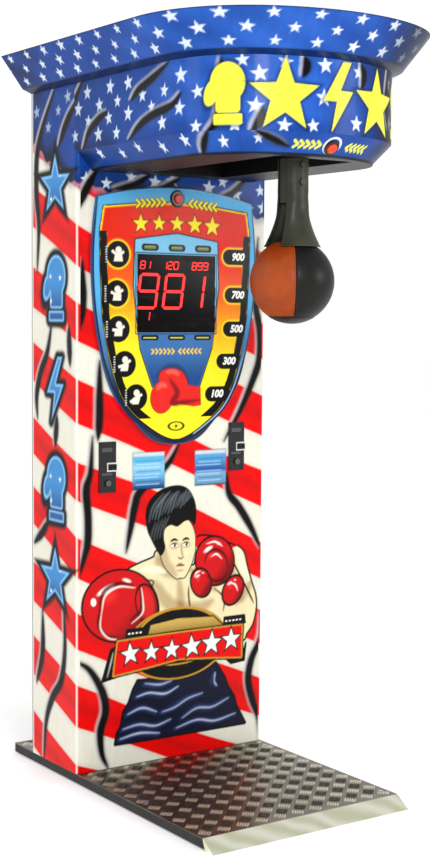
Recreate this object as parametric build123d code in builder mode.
from build123d import *

import os
from math import radians, sin, sqrt

# Boxing punch machine: a cabinet on a tread-plate platform, with a bow-fronted head that carries
# a leather ball on a swinging arm.
# Frame: +Z up, the front faces -Y, and the origin is on the floor under the middle of the
# cabinet's front face.

os.makedirs("parts", exist_ok=True)

# ---- Driving sizes, millimetres ----
cabinet_width = 656
cabinet_depth = 267
board = 15
sheet = 3
edge_radius = 12
fit_gap = 0.3
screw_gap = 0.2

pad_height = 4
base_board_height = 24
tread_thickness = 3
platform_step = 3
platform_front = 642
lip_reach = 47
platform_back = 119

tube = 30
tube_wall = 2
beam = 40
beam_spacing = 300
beam_bottom = 1830

head_reach = 745
head_corner_radius = 250
head_bow_radius = 420
head_bottom = 1752
head_top = 1986
chamfer_height = 50
chamfer_inset = 48
underside = 4

crown_return_height = 11
crown_return = 29
crown_height = 99
crown_flare = 98
lid_drop = 14
lid_thickness = 4

pivot_y = -562
pivot_z = 1800
axle_radius = 10
hub_radius = 25
hub_length = 70
arm_width = 40
arm_thickness = 10
ball_radius = 111
ball_wall = 5
ball_top_drop = 251
flap_wall = 5
flap_radius = 41
flap_top_drop = 45
flap_neck_drop = 150
flap_length = 228
flap_flare = 32
flap_spread = 124
striker_length = 55

pocket_width = 250
pocket_front = 88
pocket_rear = 502
pocket_height = 178
pocket_wall = 2

score_top_corner = 1680
score_half_width = 268
score_apex = 1715
score_bulge = 284
score_bottom = 968
score_board_thickness = 9
score_face_thickness = 2
window_width = 272
window_bottom = 1296
window_top = 1521
window_centre_x = 0

button_bezel_radius = 21
button_cap_radius = 14
button_barrel_radius = 17
button_bezel_height = 5
button_cap_rise = 5
button_travel = 4
select_z = 1683
start_z = 1772

coin_plate_width = 56
coin_plate_height = 146
coin_plate_thickness = 4
coin_left_x = -228
coin_left_z = 911
coin_right_x = 224
coin_right_z = 952
return_radius = 9
return_travel = 5

door_bottom = 160
door_top = 1500
back_board = 12
hinge_pin_radius = 2
hinge_knuckle_radius = 5

# ---- Levels and planes that follow ----
half = cabinet_width / 2
inner = half - board
deck_under = pad_height + base_board_height
deck = deck_under + tread_thickness
back_face = cabinet_depth
post_back = cabinet_depth - back_board - fit_gap
post_x = inner - tube / 2
post_front_y = board + tube / 2
post_back_y = post_back - tube / 2
platform_width = cabinet_width - 2 * platform_step
beam_x = beam_spacing / 2
beam_top = beam_bottom + beam
chamfer_top = head_bottom + chamfer_height
underside_bottom = head_bottom - underside
crown_seam = head_top + crown_return_height
crown_top = head_top + crown_height
crown_rise = crown_top - crown_seam
score_front = -(score_board_thickness + score_face_thickness)
pocket_half = pocket_width / 2
pocket_front_y = pivot_y - pocket_front
pocket_rear_y = pivot_y + pocket_rear
pocket_top = head_bottom + pocket_height
ball_z = pivot_z - ball_top_drop - ball_radius

# Centres of the head's plan arcs: each corner arc is tangent to a side and to the bow.
bow_centre_y = head_bow_radius - head_reach
corner_centre_x = half - head_corner_radius
arc_gap = head_bow_radius - head_corner_radius
corner_centre_y = bow_centre_y - sqrt(arc_gap**2 - corner_centre_x**2)


def keep(piece, name):
    """Labels a finished piece and writes it to its own file."""
    piece.part.label = name
    export_step(piece.part, f"parts/{name}.step")


def head_plan(out, back, z):
    """The head's plan outline grown by out, closed along y = back, at height z."""
    side = half + out
    corner = head_corner_radius + out
    bow = head_bow_radius + out
    turn_x = corner_centre_x / arc_gap
    turn_y = (corner_centre_y - bow_centre_y) / arc_gap
    mid = Vector(1 + turn_x, turn_y).normalized() * corner
    join_x = bow * turn_x
    join_y = bow_centre_y + bow * turn_y
    mid_x = corner_centre_x + mid.X
    mid_y = corner_centre_y + mid.Y
    with BuildSketch(Plane.XY.offset(z)) as plan:
        with BuildLine():
            Line((-side, back), (-side, corner_centre_y))
            ThreePointArc((-side, corner_centre_y), (-mid_x, mid_y), (-join_x, join_y))
            ThreePointArc((-join_x, join_y), (0, bow_centre_y - bow), (join_x, join_y))
            ThreePointArc((join_x, join_y), (mid_x, mid_y), (side, corner_centre_y))
            Line((side, corner_centre_y), (side, back))
            Line((side, back), (-side, back))
        make_face()
    return plan.sketch


def block(x, y, z):
    """A box solid between two x, two y and two z values, to add to the part being built."""
    size = (x[1] - x[0], y[1] - y[0], z[1] - z[0])
    with Locations(((x[0] + x[1]) / 2, (y[0] + y[1]) / 2, (z[0] + z[1]) / 2)):
        Box(*size)


def cut_block(x, y, z):
    """The same box taken away from the part being built."""
    size = (x[1] - x[0], y[1] - y[0], z[1] - z[0])
    with Locations(((x[0] + x[1]) / 2, (y[0] + y[1]) / 2, (z[0] + z[1]) / 2)):
        Box(*size, mode=Mode.SUBTRACT)


def round_bar(centre, axis, radius, length, mode=Mode.ADD):
    """A cylinder from centre along axis."""
    plane = Plane(origin=centre, z_dir=axis)
    with BuildSketch(plane) as disc:
        Circle(radius)
    extrude(to_extrude=disc.sketch, amount=length, mode=mode)


# ---- Platform ----
lip_slope = deck / lip_reach
lip_wall = tread_thickness * sqrt(1 + lip_slope**2) / lip_slope
lip_front = -(platform_front + lip_reach)
lip_inner_top = lip_front + lip_wall + deck_under / lip_slope
platform_rear = cabinet_depth + platform_back
board_front_top = lip_inner_top + fit_gap
board_front_bottom = board_front_top - 9
cheek = 2
deck_screw_x = 300
deck_screw_y = (-600, -330, -60, 350)
deck_screw_radius = 3
deck_screw_head = 7
deck_screw_head_height = 2.5
deck_screw_length = 20
deck_screw_places = [(x, y) for x in (-deck_screw_x, deck_screw_x) for y in deck_screw_y]

with BuildPart() as base_board:
    with BuildSketch(Plane.YZ) as side_view:
        with BuildLine():
            Polyline(
                (platform_rear, deck_under),
                (board_front_top, deck_under),
                (board_front_bottom, pad_height),
                (platform_rear, pad_height),
                close=True,
            )
        make_face()
    extrude(amount=platform_width / 2, both=True)
    with Locations(*[(x, y, deck_under) for x, y in deck_screw_places]):
        hole_depth = deck_screw_length + 2
        Cylinder(
            deck_screw_radius + screw_gap,
            hole_depth,
            align=(Align.CENTER, Align.CENTER, Align.MAX),
            mode=Mode.SUBTRACT,
        )
keep(base_board, "base_board")

pad_width = 600
pad_depth = 40
with BuildPart() as rubber_pads:
    for pad_y in (-560, 0, 330):
        pad_span = (pad_y - pad_depth / 2, pad_y + pad_depth / 2)
        block((-pad_width / 2, pad_width / 2), pad_span, (0, pad_height))
keep(rubber_pads, "rubber_pads")

with BuildPart() as tread_plate:
    with BuildSketch(Plane.YZ) as side_view:
        with BuildLine():
            Polyline(
                (platform_rear, deck),
                (-platform_front, deck),
                (lip_front, 0),
                (lip_front + lip_wall, 0),
                (lip_inner_top, deck_under),
                (platform_rear, deck_under),
                close=True,
            )
        make_face()
    extrude(amount=platform_width / 2, both=True)
    for cheek_x in (-platform_width / 2, platform_width / 2 - cheek):
        with BuildSketch(Plane.YZ.offset(cheek_x)) as cheek_view:
            with BuildLine():
                Polyline(
                    (lip_inner_top, deck_under),
                    (lip_front + lip_wall, 0),
                    (board_front_bottom - 2, 0),
                    close=True,
                )
            make_face()
        extrude(amount=cheek)
    with Locations(*[(x, y, deck) for x, y in deck_screw_places]):
        Cylinder(
            deck_screw_radius + screw_gap,
            3 * tread_thickness,
            mode=Mode.SUBTRACT,
        )
keep(tread_plate, "tread_plate")

with BuildPart() as deck_screws:
    for x, y in deck_screw_places:
        round_bar((x, y, deck), (0, 0, 1), deck_screw_head, deck_screw_head_height)
        round_bar((x, y, deck), (0, 0, -1), deck_screw_radius, deck_screw_length)
keep(deck_screws, "deck_screws")

# ---- Frame ----
def square_tube(start, axis, length, size, wall):
    """A square tube from the middle of one end along axis."""
    plane = Plane(origin=start, x_dir=(0, 0, 1) if axis[2] == 0 else (1, 0, 0), z_dir=axis)
    with BuildSketch(plane) as section:
        Rectangle(size, size)
        Rectangle(size - 2 * wall, size - 2 * wall, mode=Mode.SUBTRACT)
    extrude(to_extrude=section.sketch, amount=length)


with BuildPart() as frame_posts:
    for x in (-post_x, post_x):
        for y in (post_front_y, post_back_y):
            square_tube((x, y, deck), (0, 0, 1), head_top - deck, tube, tube_wall)
keep(frame_posts, "frame_posts")

mid_rail_z = 640
side_rail_levels = (deck + 40, mid_rail_z, head_top - 40)
side_rail_length = post_back_y - post_front_y - tube
front_rail_z = beam_bottom - tube / 2
rear_rail_z = beam_top + tube / 2
cross_length = 2 * post_x - tube
with BuildPart() as frame_rails:
    for x in (-post_x, post_x):
        for z in side_rail_levels:
            square_tube((x, post_front_y + tube / 2, z), (0, 1, 0), side_rail_length, tube, tube_wall)
    square_tube((-cross_length / 2, post_front_y, front_rail_z), (1, 0, 0), cross_length, tube, tube_wall)
    square_tube((-cross_length / 2, post_back_y, rear_rail_z), (1, 0, 0), cross_length, tube, tube_wall)
    square_tube((-cross_length / 2, post_back_y, head_top - 40), (1, 0, 0), cross_length, tube, tube_wall)
keep(frame_rails, "frame_rails")

outrigger_size = 30
outrigger_y = (-120, -430)
beam_length = post_back_y + tube / 2 - pocket_front_y
with BuildPart() as head_beams:
    for x in (-beam_x, beam_x):
        square_tube((x, pocket_front_y, beam_bottom + beam / 2), (0, 1, 0), beam_length, beam, tube_wall)
    for side in (-1, 1):
        for y in outrigger_y:
            start = (side * (beam_x + beam / 2), y, beam_bottom + beam / 2)
            reach = half - sheet - beam_x - beam / 2
            square_tube(start, (side, 0, 0), reach, outrigger_size, tube_wall)
keep(head_beams, "head_beams")

# ---- Cabinet boards ----
trim = 2
for side, name in ((-1, "side_panel_left"), (1, "side_panel_right")):
    low_x, high_x = sorted((side * half, side * inner))
    with BuildPart() as side_panel:
        with BuildSketch(Plane.XY.offset(deck)) as lower_section:
            with Locations(((low_x + high_x) / 2, (back_face - trim) / 2)):
                Rectangle(board, back_face - trim)
            front_corner = lower_section.vertices().sort_by(Axis.Y)[:2].sort_by(Axis.X)
            fillet(front_corner[0] if side < 0 else front_corner[1], radius=min(edge_radius, board - 1))
        extrude(amount=chamfer_top - deck)
        block((low_x, high_x), (0, back_face - trim), (chamfer_top, head_top))
    keep(side_panel, name)

with BuildPart() as edge_trims:
    for side in (-1, 1):
        low_x, high_x = sorted((side * half, side * inner))
        block((low_x, high_x), (back_face - trim, back_face), (deck, head_top))
keep(edge_trims, "edge_trims")

mech_width = 36
mech_height = 110
coin_places = ((coin_left_x, coin_left_z), (coin_right_x, coin_right_z))
window_cut_margin = 4
with BuildPart() as front_panel:
    block((-inner, inner), (0, board), (deck, chamfer_top))
    for x, z in coin_places:
        cut_block(
            (x - mech_width / 2 - fit_gap, x + mech_width / 2 + fit_gap),
            (-1, board + 1),
            (z - mech_height / 2 - fit_gap, z + mech_height / 2 + fit_gap),
        )
    cut_block(
        (-window_width / 2 + window_cut_margin, window_width / 2 - window_cut_margin),
        (-1, board + 1),
        (window_bottom + window_cut_margin, window_top - window_cut_margin),
    )
    round_bar((0, -1, select_z), (0, 1, 0), button_barrel_radius + fit_gap, board + 2, Mode.SUBTRACT)
keep(front_panel, "front_panel")

inlet_x = -200
inlet_z = 95
inlet_body_width = 58
inlet_body_height = 28
panel_low = (-(inner - fit_gap), inner - fit_gap)
back_y = (back_face - back_board, back_face)
with BuildPart() as back_panels:
    block(panel_low, back_y, (door_top + sheet, head_top))
    block(panel_low, back_y, (deck, door_bottom - sheet))
    cut_block(
        (inlet_x - inlet_body_width / 2 - fit_gap, inlet_x + inlet_body_width / 2 + fit_gap),
        (back_y[0] - 1, back_y[1] + 1),
        (inlet_z - inlet_body_height / 2 - fit_gap, inlet_z + inlet_body_height / 2 + fit_gap),
    )
keep(back_panels, "back_panels")

# ---- Rear door ----
door_half = inner - 2
door_lock_x = -(inner - tube - 15)
door_lock_z = 800
lock_radius = 9.5
lock_collar = 13
louvre_width = 300
louvre_height = 8
louvre_count = 6
louvre_step = 26
louvre_margin = 90
with BuildPart() as rear_door:
    block((-door_half, door_half), back_y, (door_bottom, door_top))
    for row in range(louvre_count):
        z = door_top - louvre_margin - row * louvre_step
        cut_block(
            (-louvre_width / 2, louvre_width / 2),
            (back_y[0] - 1, back_y[1] + 1),
            (z, z + louvre_height),
        )
    lock_entry = (door_lock_x, back_y[0] - 1, door_lock_z)
    round_bar(lock_entry, (0, 1, 0), lock_radius + screw_gap, back_board + 2, Mode.SUBTRACT)
keep(rear_door, "rear_door")

cam_thickness = 3
cam_front_y = post_back - tube - 5
cam_shaft_radius = 4
cam_shaft_fit = 0.08
cam_shaft_length = 50
lock_collar_height = 3
lock_front_y = cam_front_y + cam_thickness + fit_gap
with BuildPart() as door_lock_body:
    round_bar((door_lock_x, lock_front_y, door_lock_z), (0, 1, 0), lock_radius, back_face - lock_front_y)
    round_bar((door_lock_x, back_face, door_lock_z), (0, 1, 0), lock_collar, lock_collar_height)
    shaft_hole = cam_shaft_length + 10
    round_bar((door_lock_x, cam_front_y, door_lock_z), (0, 1, 0), cam_shaft_radius, shaft_hole, Mode.SUBTRACT)
keep(door_lock_body, "door_lock_body")

cam_reach = 36
cam_point = (door_lock_x, cam_front_y, door_lock_z)
with BuildPart() as door_lock_cam:
    with BuildSketch(Plane(origin=cam_point, x_dir=(1, 0, 0), z_dir=(0, 1, 0))):
        with Locations((0, (cam_reach - lock_radius) / 2)):
            SlotCenterToCenter(cam_reach - lock_radius, 2 * lock_radius, rotation=90)
    extrude(amount=cam_thickness)
    round_bar(cam_point, (0, 1, 0), cam_shaft_radius - cam_shaft_fit, cam_shaft_length)
keep(door_lock_cam, "door_lock_cam")

hinge_x = inner - 1
hinge_y = back_face + hinge_knuckle_radius + 0.5
hinge_levels = (door_bottom + 140, (door_bottom + door_top) / 2, door_top - 140)
hinge_height = 60
pin_fit = 0.05
hinge_leaf = 2
leaf_reach = board - 1
door_leaf_reach = 22
leaf_overlap = 1
leaf_relief = 0.6
knuckle_split = 10
leaf_y = (back_face, back_face + hinge_leaf)
tongue_y = (back_face + leaf_relief, back_face + hinge_leaf)
leaf_start = hinge_knuckle_radius + leaf_overlap
with BuildPart() as hinge_frame_leaves:
    for z in hinge_levels:
        low, high = z - hinge_height / 2, z + hinge_height / 2
        block((hinge_x + leaf_start, hinge_x + leaf_reach), leaf_y, (low, high))
        for span in ((low, z - knuckle_split), (z + knuckle_split, high)):
            block((hinge_x, hinge_x + leaf_start + leaf_overlap), tongue_y, span)
            round_bar((hinge_x, hinge_y, span[0]), (0, 0, 1), hinge_knuckle_radius, span[1] - span[0])
        round_bar((hinge_x, hinge_y, low), (0, 0, 1), hinge_pin_radius, hinge_height)
keep(hinge_frame_leaves, "hinge_frame_leaves")

with BuildPart() as hinge_door_leaves:
    for z in hinge_levels:
        low, high = z - hinge_height / 2, z + hinge_height / 2
        block((hinge_x - door_leaf_reach, hinge_x - leaf_start), leaf_y, (low, high))
        knuckle = (z - knuckle_split + fit_gap, z + knuckle_split - fit_gap)
        block((hinge_x - leaf_start - leaf_overlap, hinge_x), tongue_y, knuckle)
        round_bar((hinge_x, hinge_y, knuckle[0]), (0, 0, 1), hinge_knuckle_radius, knuckle[1] - knuckle[0])
        round_bar((hinge_x, hinge_y, low), (0, 0, 1), hinge_pin_radius + pin_fit, hinge_height, Mode.SUBTRACT)
keep(hinge_door_leaves, "hinge_door_leaves")

# ---- Head ----
start_inset = (chamfer_top - start_z) * chamfer_inset / chamfer_height
chamfer_slope = sqrt(chamfer_height**2 + chamfer_inset**2)
start_normal = Vector(0, -chamfer_height / chamfer_slope, -chamfer_inset / chamfer_slope)
start_point = Vector(0, -head_reach + start_inset, start_z)

with BuildPart() as head_shell:
    extrude(to_extrude=head_plan(0, 0, chamfer_top), amount=head_top - chamfer_top, dir=(0, 0, 1))
    loft([head_plan(-chamfer_inset, 0, head_bottom), head_plan(0, 0, chamfer_top)], ruled=True)
    extrude(
        to_extrude=head_plan(-sheet, 0, chamfer_top),
        amount=head_top - chamfer_top,
        dir=(0, 0, 1),
        mode=Mode.SUBTRACT,
    )
    loft(
        [head_plan(-chamfer_inset - sheet, 0, head_bottom), head_plan(-sheet, 0, chamfer_top)],
        ruled=True,
        mode=Mode.SUBTRACT,
    )
    round_bar(start_point + start_normal * 5, -start_normal, button_barrel_radius + fit_gap, 20, Mode.SUBTRACT)
keep(head_shell, "head_shell")

speaker_x = 200
speaker_y = -250
speaker_radius = 50
with BuildPart() as head_underside:
    extrude(to_extrude=head_plan(-chamfer_inset, 0, underside_bottom), amount=underside, dir=(0, 0, 1))
    pocket_y = (pocket_front_y, pocket_rear_y)
    cut_block((-pocket_half, pocket_half), pocket_y, (underside_bottom - 1, head_bottom + 1))
    with Locations((speaker_x, speaker_y, head_bottom)):
        with PolarLocations(speaker_radius * 0.66, 12):
            Cylinder(4, 4 * underside, mode=Mode.SUBTRACT)
        with PolarLocations(speaker_radius * 0.36, 6):
            Cylinder(4, 4 * underside, mode=Mode.SUBTRACT)
keep(head_underside, "head_underside")

speaker_depth = 34
with BuildPart() as speaker:
    round_bar((speaker_x, speaker_y, head_bottom), (0, 0, 1), speaker_radius, 4)
    round_bar((speaker_x, speaker_y, head_bottom), (0, 0, 1), speaker_radius - 8, 4 + 14)
    round_bar((speaker_x, speaker_y, head_bottom), (0, 0, 1), speaker_radius * 0.6, speaker_depth)
    round_bar((speaker_x, speaker_y, head_bottom - 1), (0, 0, 1), speaker_radius - 10, 1 + 8, Mode.SUBTRACT)
keep(speaker, "speaker")

lock_z = pivot_z + 14
lock_y = pivot_y - striker_length + 7
bolt_radius = 4
axle_hole = axle_radius + 3
with BuildPart() as ball_pocket:
    outer_x = (-pocket_half - pocket_wall, pocket_half + pocket_wall)
    outer_y = (pocket_front_y - pocket_wall, pocket_rear_y + pocket_wall)
    block(outer_x, outer_y, (head_bottom, pocket_top + pocket_wall))
    cut_block((-pocket_half, pocket_half), (pocket_front_y, pocket_rear_y), (head_bottom - 1, pocket_top))
    across = outer_x[1] - outer_x[0] + 2
    round_bar((outer_x[0] - 1, pivot_y, pivot_z), (1, 0, 0), axle_hole, across, Mode.SUBTRACT)
    round_bar((outer_x[0] - 1, lock_y, lock_z), (1, 0, 0), bolt_radius + 1, pocket_wall + 2, Mode.SUBTRACT)
keep(ball_pocket, "ball_pocket")

with BuildPart() as crown_shell:
    foot_plan = head_plan(0, back_face, head_top)
    seam_plan = head_plan(crown_return, back_face, crown_seam)
    rim_plan = head_plan(crown_flare, back_face, crown_top)
    loft([foot_plan, seam_plan], ruled=True)
    loft([seam_plan, rim_plan], ruled=True)
    loft(
        [
            head_plan(-sheet, back_face - sheet, head_top),
            head_plan(crown_return - sheet, back_face - sheet, crown_seam),
        ],
        ruled=True,
        mode=Mode.SUBTRACT,
    )
    loft(
        [
            head_plan(crown_return - sheet, back_face - sheet, crown_seam),
            head_plan(crown_flare - sheet, back_face - sheet, crown_top),
        ],
        ruled=True,
        mode=Mode.SUBTRACT,
    )
keep(crown_shell, "crown_shell")

lid_bottom = crown_top - lid_drop - lid_thickness
flare_rate = (crown_flare - crown_return) / crown_rise
lid_out = crown_return - sheet + (lid_bottom - crown_seam) * flare_rate - fit_gap
with BuildPart() as crown_lid:
    extrude(
        to_extrude=head_plan(lid_out, back_face - sheet - fit_gap, lid_bottom),
        amount=lid_thickness,
        dir=(0, 0, 1),
    )
keep(crown_lid, "crown_lid")

# ---- Punch mechanism ----
block_half = 30
axle_overhang = 20
block_x = (beam_x - 15, beam_x + 15)
block_bottom = pivot_z - 25
bore_length = 2 * (beam_x + axle_overhang)
bearing_radius = 20
bearing_width = 22
hub_fit = 0.02
axle_fit = 0.06
with BuildPart() as pillow_blocks:
    for side in (-1, 1):
        span = sorted((side * block_x[0], side * block_x[1]))
        block(span, (pivot_y - block_half, pivot_y + block_half), (block_bottom, beam_bottom))
    round_bar((-beam_x - axle_overhang, pivot_y, pivot_z), (1, 0, 0), bearing_radius, bore_length, Mode.SUBTRACT)
keep(pillow_blocks, "pillow_blocks")

with BuildPart() as swing_bearings:
    for side in (-1, 1):
        bearing_end = (side * beam_x - bearing_width / 2, pivot_y, pivot_z)
        round_bar(bearing_end, (1, 0, 0), bearing_radius - hub_fit, bearing_width)
    round_bar((-beam_x - axle_overhang, pivot_y, pivot_z), (1, 0, 0), axle_radius + axle_fit, bore_length, Mode.SUBTRACT)
keep(swing_bearings, "swing_bearings")

axle_half = beam_x + 17
with BuildPart() as swing_axle:
    round_bar((-axle_half, pivot_y, pivot_z), (1, 0, 0), axle_radius, 2 * axle_half)
    chamfer(swing_axle.edges().filter_by(GeomType.CIRCLE), length=1)
keep(swing_axle, "swing_axle")

striker_x = (-60, -52)
striker_half = 4
striker_collar = 4
striker_collar_radius = 18
socket_height = 12
boss_half_x = arm_width / 2 + 2
boss_half_y = 12
boss_bottom = pivot_z - hub_radius - 7
with BuildPart() as swing_hub:
    round_bar((-hub_length / 2, pivot_y, pivot_z), (1, 0, 0), hub_radius, hub_length)
    boss_y = (pivot_y - boss_half_y, pivot_y + boss_half_y)
    block((-boss_half_x, boss_half_x), boss_y, (boss_bottom, pivot_z - socket_height))
    collar_end = (striker_x[0] - striker_collar, pivot_y, pivot_z)
    collar_length = striker_x[1] - striker_x[0] + 2 * striker_collar
    round_bar(collar_end, (1, 0, 0), striker_collar_radius, collar_length)
    striker_y = (pivot_y - striker_half, pivot_y + striker_half)
    block(striker_x, striker_y, (pivot_z + socket_height, pivot_z + striker_length))
    hub_bore = axle_radius + hub_fit
    round_bar((-hub_length, pivot_y, pivot_z), (1, 0, 0), hub_bore, 2 * hub_length, Mode.SUBTRACT)
keep(swing_hub, "swing_hub")

ball_top = ball_z + ball_radius
stem_flange = 6
arm_bottom = ball_top + 1 + stem_flange
flap_top = pivot_z - flap_top_drop
bolt_levels = (flap_top - 18, flap_top - 62)
flap_bolt_radius = 4
bolt_hole = flap_bolt_radius + screw_gap


def flap_bolt_holes():
    """Takes the flap bolts' holes out of the part being built."""
    for z in bolt_levels:
        round_bar((0, pivot_y - 60, z), (0, 1, 0), bolt_hole, 120, Mode.SUBTRACT)


with BuildPart() as arm_bar:
    block(
        (-arm_width / 2, arm_width / 2),
        (pivot_y - arm_thickness / 2, pivot_y + arm_thickness / 2),
        (arm_bottom, boss_bottom),
    )
    flap_bolt_holes()
keep(arm_bar, "arm_bar")

stem_radius = 9
with BuildPart() as ball_stem:
    round_bar((0, pivot_y, arm_bottom), (0, 0, -1), 22, stem_flange)
    round_bar((0, pivot_y, arm_bottom), (0, 0, -1), stem_radius, arm_bottom - ball_z)
keep(ball_stem, "ball_stem")

pad_radius = flap_radius - flap_wall - fit_gap
arm_pad_bottom = flap_top - 115
with BuildPart() as arm_pad:
    round_bar((0, pivot_y, arm_pad_bottom), (0, 0, 1), pad_radius, flap_top - arm_pad_bottom)
    cut_block(
        (-arm_width / 2 - fit_gap, arm_width / 2 + fit_gap),
        (pivot_y - arm_thickness / 2 - fit_gap, pivot_y + arm_thickness / 2 + fit_gap),
        (arm_pad_bottom - 1, flap_top + 1),
    )
    flap_bolt_holes()
keep(arm_pad, "arm_pad")

flap_neck = pivot_z - flap_neck_drop
flap_bottom = flap_top - flap_length
for middle, name in ((-90, "front_flap"), (90, "rear_flap")):
    with BuildPart() as flap:
        turned = Rot(0, 0, middle - flap_spread / 2)
        outwards, across = turned.x_axis.direction, turned.y_axis.direction
        with BuildSketch(Plane(origin=(0, pivot_y, 0), x_dir=outwards, z_dir=across * -1)):
            with BuildLine():
                outer_top = (flap_radius, flap_top)
                outer_neck = (flap_radius, flap_neck)
                outer_end = (flap_radius + flap_flare, flap_bottom)
                inner_end = (flap_radius + flap_flare - flap_wall, flap_bottom)
                inner_neck = (flap_radius - flap_wall, flap_neck)
                inner_top = (flap_radius - flap_wall, flap_top)
                Line(outer_top, outer_neck)
                TangentArc(outer_neck, outer_end, tangent=(0, -1))
                Line(outer_end, inner_end)
                TangentArc(inner_neck, inner_end, tangent=(0, -1))
                Line(inner_neck, inner_top)
                Line(inner_top, outer_top)
            make_face()
        revolve(axis=Axis((0, pivot_y, 0), (0, 0, 1)), revolution_arc=flap_spread)
        flap_bolt_holes()
    keep(flap, name)

flap_bolt_head = 9
flap_bolt_head_height = 4
bolt_seat = flap_radius + fit_gap
with BuildPart() as flap_bolts:
    for z in bolt_levels:
        front_seat = (0, pivot_y - bolt_seat, z)
        rear_seat = (0, pivot_y + bolt_seat, z)
        round_bar(front_seat, (0, 1, 0), flap_bolt_radius, 2 * bolt_seat)
        round_bar(front_seat, (0, -1, 0), flap_bolt_head, flap_bolt_head_height)
        round_bar(rear_seat, (0, 1, 0), flap_bolt_head, flap_bolt_head_height)
keep(flap_bolts, "flap_bolts")

ball_centre = (0, pivot_y, ball_z)
with BuildPart() as ball_cover:
    with Locations(ball_centre):
        Sphere(ball_radius)
        Sphere(ball_radius - ball_wall, mode=Mode.SUBTRACT)
    round_bar(ball_centre, (0, 0, 1), stem_radius + fit_gap, ball_radius + 1, Mode.SUBTRACT)
keep(ball_cover, "ball_cover")

with BuildPart() as ball_core:
    with Locations(ball_centre):
        Sphere(ball_radius - ball_wall - fit_gap)
    round_bar(ball_centre, (0, 0, 1), stem_radius + fit_gap, ball_radius + 1, Mode.SUBTRACT)
keep(ball_core, "ball_core")

disc_x = 96
disc_thickness = 3
disc_radius = 30
disc_boss_radius = 16
disc_boss_length = 8
disc_slots = 24
disc_slot_radius = 1.6
with BuildPart() as encoder_disc:
    round_bar((disc_x, pivot_y, pivot_z), (1, 0, 0), disc_radius, disc_thickness)
    round_bar((disc_x, pivot_y, pivot_z), (-1, 0, 0), disc_boss_radius, disc_boss_length)
    with Locations(Plane(origin=(disc_x, pivot_y, pivot_z), z_dir=(1, 0, 0))):
        with PolarLocations(disc_radius - 5, disc_slots):
            Cylinder(disc_slot_radius, 4 * disc_thickness, mode=Mode.SUBTRACT)
    round_bar((disc_x - 20, pivot_y, pivot_z), (1, 0, 0), axle_radius + hub_fit, 40, Mode.SUBTRACT)
keep(encoder_disc, "encoder_disc")

fork_x = (84, pocket_half)
fork_low = pivot_z + disc_radius - 10
fork_high = pivot_z + disc_radius + 18
with BuildPart() as sensor_fork:
    block(fork_x, (pivot_y - 10, pivot_y + 10), (fork_low, fork_high))
    cut_block(
        (disc_x - 2, disc_x + disc_thickness + 2),
        (pivot_y - 11, pivot_y + 11),
        (fork_low - 1, pivot_z + disc_radius + 3),
    )
keep(sensor_fork, "sensor_fork")

front_stop_y = (pivot_y - striker_length - 1, pivot_y - striker_length + 15)
front_stop_z = (pivot_z - 28, pivot_z - 6)
rear_stop_y = (pivot_y + 22, pivot_y + 38)
rear_stop_z = (pivot_z + 38, pivot_z + 54)
with BuildPart() as stop_bars:
    block((-pocket_half, pocket_half), front_stop_y, front_stop_z)
    block((-pocket_half, pocket_half), rear_stop_y, rear_stop_z)
keep(stop_bars, "stop_bars")

stop_pad_x = (striker_x[0] - 3, striker_x[1] + 3)
with BuildPart() as stop_pads:
    block(stop_pad_x, front_stop_y, (front_stop_z[1], front_stop_z[1] + 4))
    block(stop_pad_x, (rear_stop_y[0] - 5, rear_stop_y[0]), rear_stop_z)
keep(stop_pads, "stop_pads")

bolt_rest_x = striker_x[0] - 6
solenoid_x = (-beam_x - beam / 2, -pocket_half - pocket_wall)
solenoid_half = 16
with BuildPart() as lock_solenoid:
    solenoid_y = (lock_y - solenoid_half, lock_y + solenoid_half)
    block(solenoid_x, solenoid_y, (lock_z - solenoid_half, beam_bottom))
    round_bar((solenoid_x[0] - 1, lock_y, lock_z), (1, 0, 0), bolt_radius + axle_fit, 60, Mode.SUBTRACT)
keep(lock_solenoid, "lock_solenoid")

lock_travel = 14
with BuildPart() as lock_bolt:
    bolt_back = solenoid_x[0] - lock_travel - 4
    round_bar((bolt_back, lock_y, lock_z), (1, 0, 0), bolt_radius, bolt_rest_x - bolt_back)
    round_bar((bolt_back, lock_y, lock_z), (-1, 0, 0), 8, 4)
keep(lock_bolt, "lock_bolt")

# ---- Scoreboard ----
score_shoulder_z = 1224
score_shoulder_x = 250
score_hip = (206, 1111)
score_knee = (136, 1033)


def score_outline(shrink):
    """The scoreboard's shield outline, from its two top corners to the rounded foot, drawn in by shrink."""
    corner_x = score_half_width - shrink
    corner_z = score_top_corner - shrink
    shoulder = (score_shoulder_x - shrink, score_shoulder_z)
    hip = (score_hip[0] - 0.9 * shrink, score_hip[1] + 0.4 * shrink)
    knee = (score_knee[0] - 0.7 * shrink, score_knee[1] + 0.7 * shrink)
    waist_z = (score_top_corner + window_bottom) / 2
    with BuildSketch(Plane.XZ) as outline:
        with BuildLine():
            ThreePointArc((-corner_x, corner_z), (0, score_apex - shrink), (corner_x, corner_z))
            right = ThreePointArc((corner_x, corner_z), (score_bulge - shrink, waist_z), shoulder)
            low = Spline(shoulder, hip, knee, (0, score_bottom + shrink), tangents=(right % 1, (-1, 0)))
            mirror(right, about=Plane.YZ)
            mirror(low, about=Plane.YZ)
        make_face()
    return outline.sketch


window_x = (window_centre_x - window_width / 2, window_centre_x + window_width / 2)
with BuildPart() as score_board:
    extrude(to_extrude=score_outline(0), amount=score_board_thickness, dir=(0, -1, 0))
    cut_block(window_x, (-score_board_thickness - 1, 1), (window_bottom, window_top))
    barrel_hole = button_barrel_radius + fit_gap
    round_bar((0, -score_board_thickness - 1, select_z), (0, 1, 0), barrel_hole, 20, Mode.SUBTRACT)
keep(score_board, "score_board")

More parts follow.
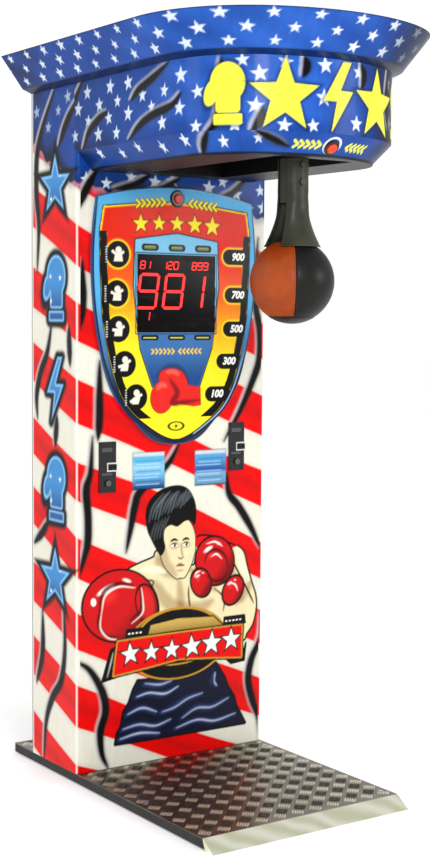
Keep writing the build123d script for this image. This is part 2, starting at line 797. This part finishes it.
face_margin = 2
with BuildPart() as score_face:
    face_back = score_outline(face_margin).moved(Location((0, -score_board_thickness, 0)))
    extrude(to_extrude=face_back, amount=score_face_thickness, dir=(0, -1, 0))
    cut_block(window_x, (score_front - 1, 0), (window_bottom, window_top))
    round_bar((0, score_front - 1, select_z), (0, 1, 0), button_barrel_radius + fit_gap, 20, Mode.SUBTRACT)
keep(score_face, "score_face")

window_front = score_front + 1
with BuildPart() as display_window:
    block(
        (window_x[0] + fit_gap, window_x[1] - fit_gap),
        (window_front, 0),
        (window_bottom + fit_gap, window_top - fit_gap),
    )
    cut_block(
        (window_x[0] + 8, window_x[1] - 8),
        (window_front + sheet, 1),
        (window_bottom + 8, window_top - 8),
    )
keep(display_window, "display_window")

digit_height = 96
digit_width = 70
digit_depth = 12
digit_z = 1414
small_digit_height = 26
digit_gap = 12
small_digit_lift = 10
digit_surround = 4
digit_back = board - 2
with BuildPart() as digit_modules:
    for column in (-1, 0, 1):
        x = window_centre_x + column * (digit_width + digit_gap)
        small_bottom = digit_z + digit_height / 2 + small_digit_lift
        block(
            (x - digit_width / 2, x + digit_width / 2),
            (digit_back - digit_depth, digit_back),
            (digit_z - digit_height / 2 - digit_surround, digit_z + digit_height / 2 + digit_surround),
        )
        block(
            (x - digit_width / 2, x + digit_width / 2),
            (digit_back - digit_depth, digit_back),
            (small_bottom, small_bottom + small_digit_height),
        )
keep(digit_modules, "digit_modules")

circuit_board = 2
board_margin = 24
standoff = 14
standoff_radius = 4
standoff_inset = 8
control_x = -inner + standoff
control_y = (80, 215)
control_z = (1100, 1330)
with BuildPart() as circuit_boards:
    block(
        (window_x[0] - 10, window_x[1] + 10),
        (board, board + circuit_board),
        (window_bottom - board_margin, window_top + board_margin),
    )
    block((window_x[0] + 20, window_x[1] - 20), (digit_back, board), (window_bottom + 20, window_top - 20))
    block((control_x, control_x + circuit_board), control_y, control_z)
    for y in (control_y[0] + standoff_inset, control_y[1] - standoff_inset):
        for z in (control_z[0] + standoff_inset, control_z[1] - standoff_inset):
            round_bar((-inner, y, z), (1, 0, 0), standoff_radius, standoff)
keep(circuit_boards, "circuit_boards")


# ---- Buttons ----
nut_radius = 24
nut_height = 6
barrel_tail = 18
cap_well = 14


def button_bezel(origin, outwards, wall):
    """A push button's body: a flange outside, a threaded barrel through the wall and a nut behind."""
    round_bar(origin, outwards, button_bezel_radius, button_bezel_height)
    round_bar(origin, outwards * -1, button_barrel_radius, wall + barrel_tail)
    round_bar(origin - outwards * wall, outwards * -1, nut_radius, nut_height)
    mouth = origin + outwards * (button_bezel_height + 1)
    round_bar(mouth, outwards * -1, button_cap_radius + fit_gap, cap_well, Mode.SUBTRACT)


def button_cap(origin, outwards):
    """A button's cap: a plain plunger with a rounded crown."""
    top = origin + outwards * (button_bezel_height + button_cap_rise)
    round_bar(top, outwards * -1, button_cap_radius, button_bezel_height + button_cap_rise)


select_point = Vector(0, score_front, select_z)
select_out = Vector(0, -1, 0)
start_seat = start_point + start_normal * fit_gap
bezels = (
    (select_point, select_out, board - score_front, "select_button_bezel"),
    (start_seat, start_normal, sheet + 1, "start_button_bezel"),
)
for origin, outwards, wall, name in bezels:
    with BuildPart() as bezel:
        button_bezel(origin, outwards, wall)
    keep(bezel, name)

for origin, outwards, name in (
    (select_point, select_out, "select_button_cap"),
    (start_seat, start_normal, "start_button_cap"),
):
    with BuildPart() as cap:
        button_cap(origin, outwards)
        crown_edge = cap.edges().filter_by(GeomType.CIRCLE).sort_by(Axis(origin, outwards))[-1]
        fillet(crown_edge, radius=button_cap_rise - 1.5)
    keep(cap, name)

# ---- Coin entries ----
throat_width = 25
throat_height = 16
throat_reach = 10
throat_offset = 14
return_offset_z = -46
return_proud = 2
return_length = 16
mech_depth = 62
coin_screw_radius = 4
coin_screw_inset = 7
plate_y = (-coin_plate_thickness, 0)
for (x, z), name in zip(coin_places, ("coin_plate_left", "coin_plate_right")):
    throat_x = x + throat_offset
    with BuildPart() as coin_plate:
        block(
            (x - coin_plate_width / 2, x + coin_plate_width / 2),
            plate_y,
            (z - coin_plate_height / 2, z + coin_plate_height / 2),
        )
        cut_block(
            (throat_x - throat_width / 2 - fit_gap, throat_x + throat_width / 2 + fit_gap),
            (plate_y[0] - 1, 1),
            (z - throat_height / 2 - fit_gap, z + throat_height / 2 + fit_gap),
        )
        round_bar((x, -10, z + return_offset_z), (0, 1, 0), return_radius + fit_gap, 20, Mode.SUBTRACT)
        for corner_x in (-1, 1):
            for corner_z in (-1, 1):
                spot_x = x + corner_x * (coin_plate_width / 2 - coin_screw_inset)
                spot_z = z + corner_z * (coin_plate_height / 2 - coin_screw_inset)
                round_bar((spot_x, plate_y[0], spot_z), (0, -1, 0), coin_screw_radius, 1.5)
    keep(coin_plate, name)

slot_height = 4
slot_width = 19
with BuildPart() as coin_mechs:
    for x, z in coin_places:
        throat_x = x + throat_offset
        mech_z = (z - mech_height / 2, z + mech_height / 2)
        block((x - mech_width / 2, x + mech_width / 2), (0, mech_depth), mech_z)
        block(
            (throat_x - throat_width / 2, throat_x + throat_width / 2),
            (-throat_reach, 0),
            (z - throat_height / 2, z + throat_height / 2),
        )
        cut_block(
            (throat_x - slot_width / 2, throat_x + slot_width / 2),
            (-throat_reach - 1, 8),
            (z - slot_height / 2, z + slot_height / 2),
        )
        round_bar((x, -1, z + return_offset_z), (0, 1, 0), return_radius + fit_gap, 14, Mode.SUBTRACT)
keep(coin_mechs, "coin_mechs")

for (x, z), name in zip(coin_places, ("coin_return_left", "coin_return_right")):
    with BuildPart() as coin_return:
        return_face = (x, -coin_plate_thickness - return_travel - return_proud, z + return_offset_z)
        round_bar(return_face, (0, 1, 0), return_radius, return_length)
        outer_edge = coin_return.edges().filter_by(GeomType.CIRCLE).sort_by(Axis.Y)[0]
        fillet(outer_edge, radius=1.5)
    keep(coin_return, name)

chute_front = board
chute_depth = 36
chute_wall = 2
mouth_half = 20
chute_bottom = 345
funnel_z = 470
left_mouth = coin_left_z - mech_height / 2
right_mouth = coin_right_z - mech_height / 2
lx, rx = coin_left_x, coin_right_x
with BuildPart() as coin_chute:
    with BuildSketch(Plane.XZ.offset(-chute_front)) as chute_view:
        with BuildLine():
            Polyline(
                (lx - mouth_half, left_mouth),
                (lx + mouth_half, left_mouth),
                (lx + mouth_half, left_mouth - 60),
                (0, funnel_z + 150),
                (rx - mouth_half, right_mouth - 60),
                (rx - mouth_half, right_mouth),
                (rx + mouth_half, right_mouth),
                (rx + mouth_half, right_mouth - 90),
                (2 * mouth_half, funnel_z),
                (2 * mouth_half, chute_bottom),
                (-2 * mouth_half, chute_bottom),
                (-2 * mouth_half, funnel_z),
                (lx - mouth_half, left_mouth - 90),
                close=True,
            )
        make_face()
    extrude(amount=-chute_depth)
    with BuildSketch(Plane.XZ.offset(-chute_front - chute_wall)) as chute_inside:
        add(chute_view.sketch.moved(Location((0, chute_wall, 0))))
        offset(amount=-chute_wall, kind=Kind.INTERSECTION)
    extrude(amount=-(chute_depth - 2 * chute_wall), mode=Mode.SUBTRACT)
    inside_y = (chute_front + chute_wall, chute_front + chute_depth - chute_wall)
    for x, z in ((lx, left_mouth), (rx, right_mouth)):
        mouth_x = (x - mouth_half + chute_wall, x + mouth_half - chute_wall)
        cut_block(mouth_x, inside_y, (z - 2 * chute_wall, z + 1))
    cut_block(
        (-2 * mouth_half + chute_wall, 2 * mouth_half - chute_wall),
        inside_y,
        (chute_bottom - 1, chute_bottom + 2 * chute_wall),
    )
keep(coin_chute, "coin_chute")

box_half = 130
box_y = (board + 3, 200)
box_top = chute_bottom - 8
box_wall = 2
with BuildPart() as cash_box:
    block((-box_half, box_half), box_y, (deck, box_top))
    cut_block(
        (-box_half + box_wall, box_half - box_wall),
        (box_y[0] + box_wall, box_y[1] - box_wall),
        (deck + box_wall, box_top - box_wall),
    )
    cut_block((-2 * mouth_half, 2 * mouth_half), inside_y, (box_top - 2 * box_wall, box_top + 1))
keep(cash_box, "cash_box")

# ---- Power ----
supply_x = (-275, -160)
with BuildPart() as power_supply:
    block(supply_x, (60, 200), (deck, deck + 55))
    fillet(power_supply.edges().filter_by(Axis.Z), radius=3)
keep(power_supply, "power_supply")

inlet_flange = 3
inlet_depth = 24
socket_x = inlet_x + 12
rocker_x = inlet_x - 18
socket_half_x = 12
socket_half_z = 8.5
socket_depth = 16
inlet_border = 5
pin_recess = 8
pin_places = ((-7, -2), (0, 2), (7, -2))
pin_half_x = 1
pin_half_z = 2
rocker_radius = 9
rocker_half_width = 6
rocker_gap = 0.5
with BuildPart() as power_inlet:
    block(
        (inlet_x - inlet_body_width / 2, inlet_x + inlet_body_width / 2),
        (back_face - inlet_depth, back_face),
        (inlet_z - inlet_body_height / 2, inlet_z + inlet_body_height / 2),
    )
    block(
        (inlet_x - inlet_body_width / 2 - inlet_border, inlet_x + inlet_body_width / 2 + inlet_border),
        (back_face, back_face + inlet_flange),
        (inlet_z - inlet_body_height / 2 - inlet_border, inlet_z + inlet_body_height / 2 + inlet_border),
    )
    cut_block(
        (socket_x - socket_half_x, socket_x + socket_half_x),
        (back_face + inlet_flange - socket_depth, back_face + inlet_flange + 1),
        (inlet_z - socket_half_z, inlet_z + socket_half_z),
    )
    for pin_x, pin_z in pin_places:
        block(
            (socket_x + pin_x - pin_half_x, socket_x + pin_x + pin_half_x),
            (back_face + inlet_flange - socket_depth - 1, back_face + inlet_flange - pin_recess),
            (inlet_z + pin_z - pin_half_z, inlet_z + pin_z + pin_half_z),
        )
    cut_block(
        (rocker_x - rocker_half_width - rocker_gap, rocker_x + rocker_half_width + rocker_gap),
        (back_face + inlet_flange - 2 * rocker_radius, back_face + inlet_flange + 1),
        (inlet_z - rocker_radius - rocker_gap, inlet_z + rocker_radius + rocker_gap),
    )
keep(power_inlet, "power_inlet")

rocker_pivot_y = back_face + inlet_flange - 5
rocker_tilt = 10
rocker_face = 5
rocker_cut = 12
with BuildPart() as power_rocker:
    rocker_end = (rocker_x - rocker_half_width, rocker_pivot_y, inlet_z)
    round_bar(rocker_end, (1, 0, 0), rocker_radius, 2 * rocker_half_width)
    with BuildSketch(Plane.YZ.offset(rocker_x - rocker_half_width - 1)):
        with BuildLine():
            near = rocker_pivot_y + rocker_face
            far = rocker_pivot_y + 2 * rocker_cut
            Polyline(
                (near, inlet_z),
                (near + rocker_cut * sin(radians(2 * rocker_tilt)), inlet_z + rocker_cut),
                (far, inlet_z + rocker_cut),
                (far, inlet_z - rocker_cut),
                (near, inlet_z - rocker_cut),
                close=True,
            )
        make_face()
    extrude(amount=2 * rocker_half_width + 2, mode=Mode.SUBTRACT)
keep(power_rocker, "power_rocker")
